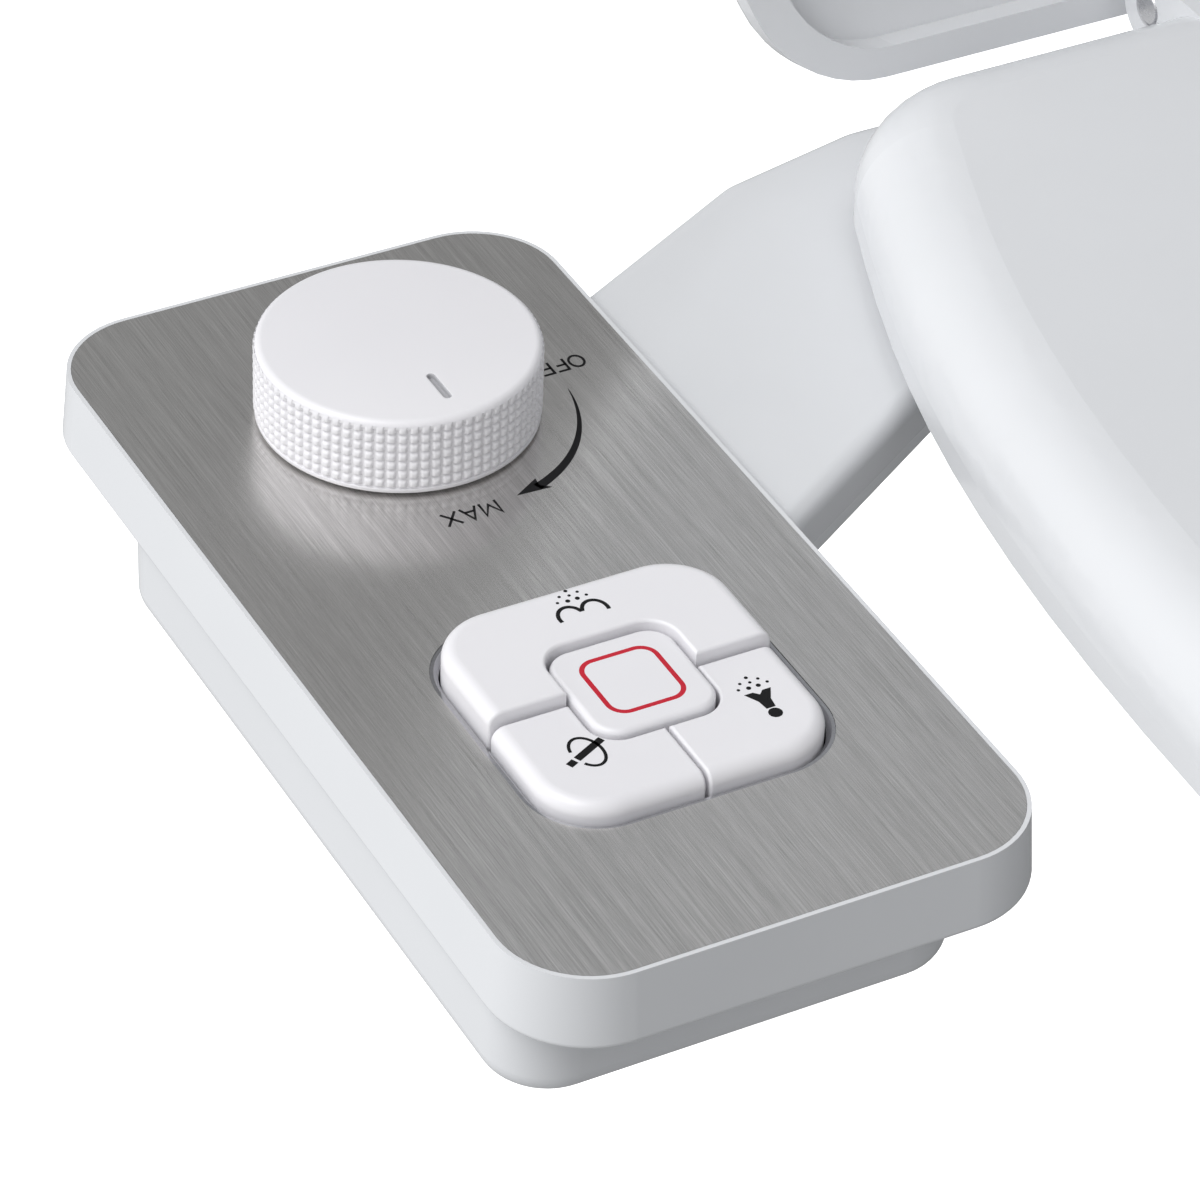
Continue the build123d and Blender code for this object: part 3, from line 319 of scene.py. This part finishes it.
def make_knob():
    """The pressure knob: ridged side, rounded crown, flat top with a sunk pointer, hollow below; the pointer
    slot's walls and floor are painted grey as shade.
    """
    points, faces, columns = knob_side()
    points = [Vector(p) for p in points]
    top_z = KNOB_HIGH.z
    rim = list(range(len(points) - columns, len(points)))
    mark = (KNOB_X, KNOB_Y - KNOB_R + (MARK_EDGE + MARK_LENGTH / 2) * MM)
    outline = [points[i] for i in rim]
    loops = [rim]
    for shrink, drop in ((-0.3, 0), (0, 0), (0.10, 0.06), (0.16, 0.16), (0.18, 0.8)):
        size = (MARK_LENGTH - 2 * shrink) * MM, (MARK_WIDTH - 2 * shrink) * MM
        loops.append(list(range(len(points), len(points) + columns)))
        points += slot_loop(mark, outline, *size, top_z - drop * MM)
    for outer, inside in zip(loops, loops[1:]):
        for i in range(columns):
            k = (i + 1) % columns
            faces.append((outer[i], outer[k], inside[k], inside[i]))
    faces.append(tuple(loops[-1]))
    slot_shade_faces = range(len(faces) - 1 - 3 * columns, len(faces))
    inner = []
    wall, ceiling = KNOB_R - KNOB_WALL, top_z - KNOB_WALL
    for radius, z in ((wall, KNOB_LOW.z), (wall, ceiling), (KNOB_HUB_R, ceiling)):
        ring = range(len(points), len(points) + columns)
        inner.append(list(ring))
        for i in range(columns):
            angle = 2 * pi * i / columns
            points.append(Vector((KNOB_X + radius * cos(angle), KNOB_Y + radius * sin(angle), z)))
    chain = [list(range(columns))] + inner
    for low, high in zip(chain, chain[1:]):
        for i in range(columns):
            k = (i + 1) % columns
            faces.append((low[i], high[i], high[k], low[k]))
    knob = make("pressure_knob_ridged", points, faces, "key_white", "pressure_knob")
    # The slot's walls and floor get the grey painted shade, in place of the shadow inside the recess.
    knob.data.materials.append(MATERIALS["slot_painted_shade"])
    for face in knob.data.polygons:
        if face.index in slot_shade_faces:
            face.material_index = 1
    knob.data.set_sharp_from_angle(angle=radians(50))
    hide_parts("knob")


make_knob()


# ---------------------------------------------------------------- threads
def lathe(name, x, y, profile, columns, material, body, replaced, thread=None):
    """A turned piece from (radius, z) points, mm; thread is (low, high, pitch, depth) in mm."""
    rows = []
    for (r0, z0), (r1, z1) in zip(profile, profile[1:]):
        cut = thread and abs(r0 - r1) < 1e-6 and z0 >= thread[0] - 1e-6 and z1 <= thread[1] + 1e-6
        steps = max(1, int(abs(z1 - z0) / thread[2] * 10)) if cut else 1
        for i in range(steps):
            rows.append((r0 + (r1 - r0) * i / steps, z0 + (z1 - z0) * i / steps, bool(cut)))
    rows.append((*profile[-1], False))
    points = []
    for radius, z, cut in rows:
        for column in range(columns):
            angle = 2 * pi * column / columns
            r = radius
            if cut:
                low, high, pitch, depth = thread
                phase = ((z - low) / pitch - column / columns) % 1
                wave = min(1, max(0, 1.6 * (abs(phase * 2 - 1)) - 0.2))
                fade = min(1, (z - low) / pitch, max(0, (high - z) / pitch))
                r = radius - depth * (1 - fade * (1 - wave))
            points.append((x + r * MM * cos(angle), y + r * MM * sin(angle), z * MM))
    faces = grid_faces(len(rows), columns, True)
    piece = make(name, points, faces, material, body)
    piece.data.set_sharp_from_angle(angle=radians(40))
    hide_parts(replaced)
    return piece


def middle(node):
    """The middle of a node's box."""
    low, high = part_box(node)
    return (low + high) / 2


low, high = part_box("inlet_fitting")
spot = middle("inlet_fitting")
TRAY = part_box("control_housing_lower")[0].z / MM
bottom, top = low.z / MM, high.z / MM
lathe(
    "inlet_fitting_threaded", spot.x, spot.y,
    [(5.5, top), (5.5, bottom), (9.3, bottom), (10.1, bottom + 0.8), (10.48, bottom + 0.9),
     (10.48, TRAY - 1.0), (10.48, TRAY), (9.5, TRAY), (9.5, TRAY + 2), (11.5, TRAY + 2),
     (11.5, TRAY + 4.5), (8, TRAY + 4.5), (8, top), (5.5, top)],
    80, "brass", "mounting_base", "inlet_fitting", thread=(bottom + 0.9, TRAY - 1.0, 1.814, 1.0),
)
for side in ("left", "right"):
    low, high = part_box(f"seat_bolt_{side}")
    spot = middle(f"seat_bolt_{side}")
    bottom, top = low.z / MM, high.z / MM
    head = top - 5.0
    lathe(
        f"seat_bolt_{side}_threaded", spot.x, spot.y,
        [(0.01, bottom), (3.1, bottom), (3.98, bottom + 0.9), (3.98, -0.5), (3.75, -0.4), (3.75, head),
         (6.5, head), (6.5, top - 0.8), (6.2, top - 0.2), (5.6, top), (3.0, top), (2.9, top - 2.4),
         (0.01, top - 2.9)],
        48, "steel", "mounting_base", f"seat_bolt_{side}",
        thread=(bottom + 0.9, -0.5, 1.25, 0.62),
    )


def make_spring(node):
    """A coil spring between the guide plate and a cap."""
    low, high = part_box(node)
    wire = 0.35 * MM
    radius = (high.x - low.x) / 2 - wire
    x, y = (low.x + high.x) / 2, (low.y + high.y) / 2
    turns, per_turn, around = 5.5, 36, 10
    rows = int(turns * per_turn) + 1
    height = high.z - low.z - 2 * wire
    points = []
    for i in range(rows):
        turn = i / per_turn
        angle = 2 * pi * turn
        # the end turns lie close, as on a ground spring
        share = min(max((turn - 0.6) / (turns - 1.2), 0), 1)
        z = low.z + wire + height * share
        for j in range(around):
            section = 2 * pi * j / around
            r = radius + wire * cos(section)
            points.append((x + r * cos(angle), y + r * sin(angle), z + wire * sin(section)))
    faces = grid_faces(rows, around, True)
    faces += [tuple(range(around))[::-1], tuple(range(len(points) - around, len(points)))]
    spring = make(f"{node}_coil", points, faces, "steel", "mounting_base")
    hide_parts(node)
    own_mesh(spring)


for node, joint in (("rear_spring", "rear_wash_press"), ("front_right_spring", "front_wash_press"),
                    ("front_left_spring", "self_clean_press"), ("stop_spring", "stop_press")):
    make_spring(node)


# ---------------------------------------------------------------- printed marks
INK = 0.035


def arc(cx, cy, rx, ry, start, end, steps=24, turn=0.0):
    """Points on an ellipse from one angle to another, in degrees, turned about its centre."""
    line = []
    for i in range(steps + 1):
        angle = radians(start + (end - start) * i / steps)
        u, v = rx * cos(angle), ry * sin(angle)
        line.append((cx + u * cos(radians(turn)) - v * sin(radians(turn)),
                     cy + u * sin(radians(turn)) + v * cos(radians(turn))))
    return line


def stroke(line, width, closed=False):
    """Left and right edges of a line drawn with a pen of a width, or of one width a point."""
    n = len(line)
    edges = []
    for i, (x, y) in enumerate(line):
        before = line[i - 1] if i or closed else line[i]
        after = line[(i + 1) % n] if i < n - 1 or closed else line[i]
        ax, ay, bx, by = x - before[0], y - before[1], after[0] - x, after[1] - y
        la, lb = hypot(ax, ay) or 1, hypot(bx, by) or 1
        dx, dy = ax / la + bx / lb, ay / la + by / lb
        size = hypot(dx, dy) or 1
        dx, dy = dx / size, dy / size
        spread = 1.0
        if ax or ay:
            spread = max(0.5, abs(dx * ax / la + dy * ay / la))
        half = (width[i] if isinstance(width, (list, tuple)) else width) / 2 / spread
        edges.append(((x - dy * half, y + dx * half), (x + dy * half, y - dx * half)))
    return edges


def print_strokes(name, strokes, origin, turn, z, body, shapes=()):
    """Ink lines and filled shapes, in mm about an origin, as one thin raised piece."""
    points, faces = [], []

    def put(x, y, height):
        c, s = cos(radians(turn)), sin(radians(turn))
        points.append((origin[0] + (x * c - y * s) * MM, origin[1] + (x * s + y * c) * MM, z + height * MM))
        return len(points) - 1

    for line, width, closed in strokes:
        rows = [[put(*left, INK), put(*right, INK), put(*right, 0.002), put(*left, 0.002)]
                for left, right in stroke(line, width, closed)]
        for a, b in zip(rows, rows[1:] + rows[:1] if closed else rows[1:]):
            for k in range(4):
                faces.append((a[k], a[(k + 1) % 4], b[(k + 1) % 4], b[k]))
        if not closed:
            faces += [tuple(rows[0][::-1]), tuple(rows[-1])]
    for outline in shapes:
        upper = [put(x, y, INK) for x, y in outline]
        lower = [put(x, y, 0.002) for x, y in outline]
        n = len(outline)
        faces.append(tuple(upper))
        faces += [(upper[i], lower[i], lower[(i + 1) % n], upper[(i + 1) % n]) for i in range(n)]
    return make(name, points, faces, "ink", body, smooth=False)


def disc(x, y, radius):
    return arc(x, y, radius, radius, 0, 330, 11)


PEN = 0.42
LETTERS = {
    # lines in a box one unit high; x from 0 to the letter's width
    "O": (0.80, [(arc(0.40, 0.5, 0.40, 0.5, 0, 348.75, 31), True)]),
    "F": (0.62, [([(0.0, 0.0), (0.0, 1.0), (0.62, 1.0)], False), ([(0.0, 0.5), (0.52, 0.5)], False)]),
    "M": (0.82, [([(0.0, 0.0), (0.0, 1.0), (0.41, 0.22), (0.82, 1.0), (0.82, 0.0)], False)]),
    "A": (0.80, [([(0.0, 0.0), (0.40, 1.0), (0.80, 0.0)], False), ([(0.14, 0.34), (0.66, 0.34)], False)]),
    "X": (0.76, [([(0.0, 0.0), (0.76, 1.0)], False), ([(0.0, 1.0), (0.76, 0.0)], False)]),
}


def print_word(name, word, origin, height, gap):
    """A word on the face plate that reads from its rear edge."""
    total = sum(LETTERS[c][0] * height for c in word) + gap * (len(word) - 1)
    x, strokes = -total / 2, []
    for c in word:
        width, lines = LETTERS[c]
        for line, closed in lines:
            strokes.append(([(x + u * height, (v - 0.5) * height) for u, v in line], PEN, closed))
        x += width * height + gap
    place = PANEL.x + origin[0] * MM, PANEL.y + origin[1] * MM
    print_strokes(name, strokes, place, 180, METAL_Z, "mounting_base")


print_word("print_off", "OFF", (29.6, 45.6), 3.0, 0.75)
print_word("print_max", "MAX", (-0.8, 16.9), 3.2, 0.75)

TAIL_R, BODY_R, HEAD_R = 27.4, 29.0, 28.3
TAIL_ANGLE, NECK_ANGLE, HEAD_ANGLE = -12.7, -66.6, -76.2
sweep, widths = [], []
for i in range(25):
    t = i / 24
    angle = radians(TAIL_ANGLE + (NECK_ANGLE - 2.0 - TAIL_ANGLE) * t)
    r = TAIL_R + (BODY_R - TAIL_R) * sin(pi * min(1, t * 1.15) / 2) - 0.35 * max(0, t - 0.7)
    sweep.append((r * cos(angle), r * sin(angle)))
    widths.append(0.06 + 1.6 * t ** 0.8)
head = [(HEAD_R * cos(radians(HEAD_ANGLE)), HEAD_R * sin(radians(HEAD_ANGLE)))]
for step, angle in ((1.55, NECK_ANGLE + 1.0), (-0.1, NECK_ANGLE - 0.9), (-1.75, NECK_ANGLE + 1.0)):
    r = BODY_R + step
    head.append((r * cos(radians(angle)), r * sin(radians(angle))))
arrow = [(sweep, widths, False)]
print_strokes("print_arrow", arrow, (KNOB_X, KNOB_Y), 0, METAL_Z, "mounting_base", shapes=[head])

CLUSTER = middle("button_bezel")
DOTS = (
    # x, y and radius of each drop of a spray
    (0, 4.4, 0.30), (0, 3.2, 0.26), (-1.5, 3.5, 0.26), (1.5, 3.5, 0.26),
    (-0.8, 2.1, 0.38), (0.8, 2.1, 0.38), (-2.4, 2.3, 0.26), (2.4, 2.3, 0.26),
)


def spray(x, y):
    return [disc(x + dx, y + dy, r) for dx, dy, r in DOTS]


def key_icon(name, node, body, x, y, strokes, shapes):
    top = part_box(node)[1].z
    print_strokes(name, strokes, (CLUSTER.x + x * MM, CLUSTER.y + y * MM), 0, top, body, shapes)


arches = arc(-2.0, -0.9, 1.95, 2.4, 195, 20, 16) + arc(2.0, -0.9, 1.95, 2.4, 160, -15, 16)
seat_strokes = [(arches, 0.62, False)]
key_icon("print_rear_wash", "rear_button", "rear_wash_key", 0.2, 16.6, seat_strokes, spray(0, 0.6))
flare = [(-0.75, -1.0), (0.75, -1.0), (1.0, 0.9), (2.2, 3.1), (0.8, 3.1), (0, 2.3),
         (-0.8, 3.1), (-2.2, 3.1), (-1.0, 0.9)]
key_icon("print_front_wash", "front_right_button", "front_wash_key", 15.6, -12.5, [],
         [disc(0, -2.3, 1.1), flare] + spray(0, 2.2))
tilt = radians(26)
turned = []
for x0, x1 in ((-3.9, -2.5), (-2.0, 3.9)):
    bar = (x0, -0.6), (x1, -0.6), (x1, 0.6), (x0, 0.6)
    turned.append([(u * cos(tilt) - v * sin(tilt), u * sin(tilt) + v * cos(tilt)) for u, v in bar])
key_icon("print_self_clean", "front_left_button", "self_clean_key", -13.5, -11.0,
         [(arc(0.3, 0, 2.25, 3.4, 215, 520, 40, 8), 0.5, False)], turned)

# ---------------------------------------------------------------- soft edges on machined parts
EDGES = {"face_plate": 0.12, "control_housing_lower": 0.3, "hinge_post_left": 0.5, "hinge_post_right": 0.5}
for node, width in EDGES.items():
    edge = frame["nodes"][node].modifiers.new("edge", "BEVEL")
    edge.width = width * MM
    edge.segments = 2
    edge.limit_method = "ANGLE"
    edge.angle_limit = radians(40)
    edge.use_clamp_overlap = True

# ---------------------------------------------------------------- floor, world and lights
FLOOR_Z = -0.42
floor_shader = Shader("floor", Roughness=0.9)
floor_shader.tint(floor_shader.noise(3, 1), (0.93, 0.93, 0.935), (0.96, 0.96, 0.96))
floor_shader.bsdf.inputs["Emission Color"].default_value = (1, 1, 1, 1)
floor_shader.bsdf.inputs["Emission Strength"].default_value = 1.0
mesh = bpy.data.meshes.new("floor")
mesh.from_pydata([(-8, -8, FLOOR_Z), (8, -8, FLOOR_Z), (8, 8, FLOOR_Z), (-8, 8, FLOOR_Z)], [], [(0, 1, 2, 3)])
mesh.materials.append(floor_shader.material)
floor = bpy.data.objects.new("floor", mesh)
bpy.context.scene.collection.objects.link(floor)
floor.visible_diffuse = floor.visible_glossy = False

world = bpy.data.worlds.new("studio")
world.use_nodes = True
bpy.context.scene.world = world
nodes, links = world.node_tree.nodes, world.node_tree.links
background = nodes["Background"]
place = nodes.new("ShaderNodeTexCoord")
dot = nodes.new("ShaderNodeVectorMath")
dot.operation = "DOT_PRODUCT"
dot.inputs[1].default_value = (-0.80, 0.42, 0.30)
links.new(place.outputs["Generated"], dot.inputs[0])
level_map = nodes.new("ShaderNodeMapRange")
for socket, number in zip(level_map.inputs[1:5], (-0.55, 0.8, 0.22, 1.0)):
    socket.default_value = number
links.new(dot.outputs["Value"], level_map.inputs[0])
# a dark card high behind, which the level metal mirrors
card_dot = nodes.new("ShaderNodeVectorMath")
card_dot.operation = "DOT_PRODUCT"
card_dot.inputs[1].default_value = (0.39, 0.69, 0.61)
links.new(place.outputs["Generated"], card_dot.inputs[0])
card_map = nodes.new("ShaderNodeMapRange")
card_map.interpolation_type = "SMOOTHSTEP"
for socket, number in zip(card_map.inputs[1:5], (0.45, 0.92, 1.0, 0.50)):
    socket.default_value = number
links.new(card_dot.outputs["Value"], card_map.inputs[0])
product = nodes.new("ShaderNodeMath")
product.operation = "MULTIPLY"
links.new(level_map.outputs[0], product.inputs[0])
links.new(card_map.outputs[0], product.inputs[1])
links.new(product.outputs[0], background.inputs["Strength"])
background.inputs["Color"].default_value = (0.98, 0.99, 1.0, 1)


def softbox(name, direction, distance, size, power, target=None, color=(1, 1, 1)):
    """An area light at a distance from the panel, turned to it."""
    data = bpy.data.lights.new(name, "AREA")
    data.shape = "RECTANGLE"
    data.size, data.size_y = size
    data.energy = power
    data.color = color
    light = bpy.data.objects.new(name, data)
    aim = Vector(direction).normalized()
    goal = target or PANEL
    light.location = goal + aim * distance
    light.rotation_euler = aim.to_track_quat("Z", "Y").to_euler()
    bpy.context.scene.collection.objects.link(light)


softbox("key", (-0.55, -0.05, 0.83), 1.3, (1.0, 0.8), 8.5)
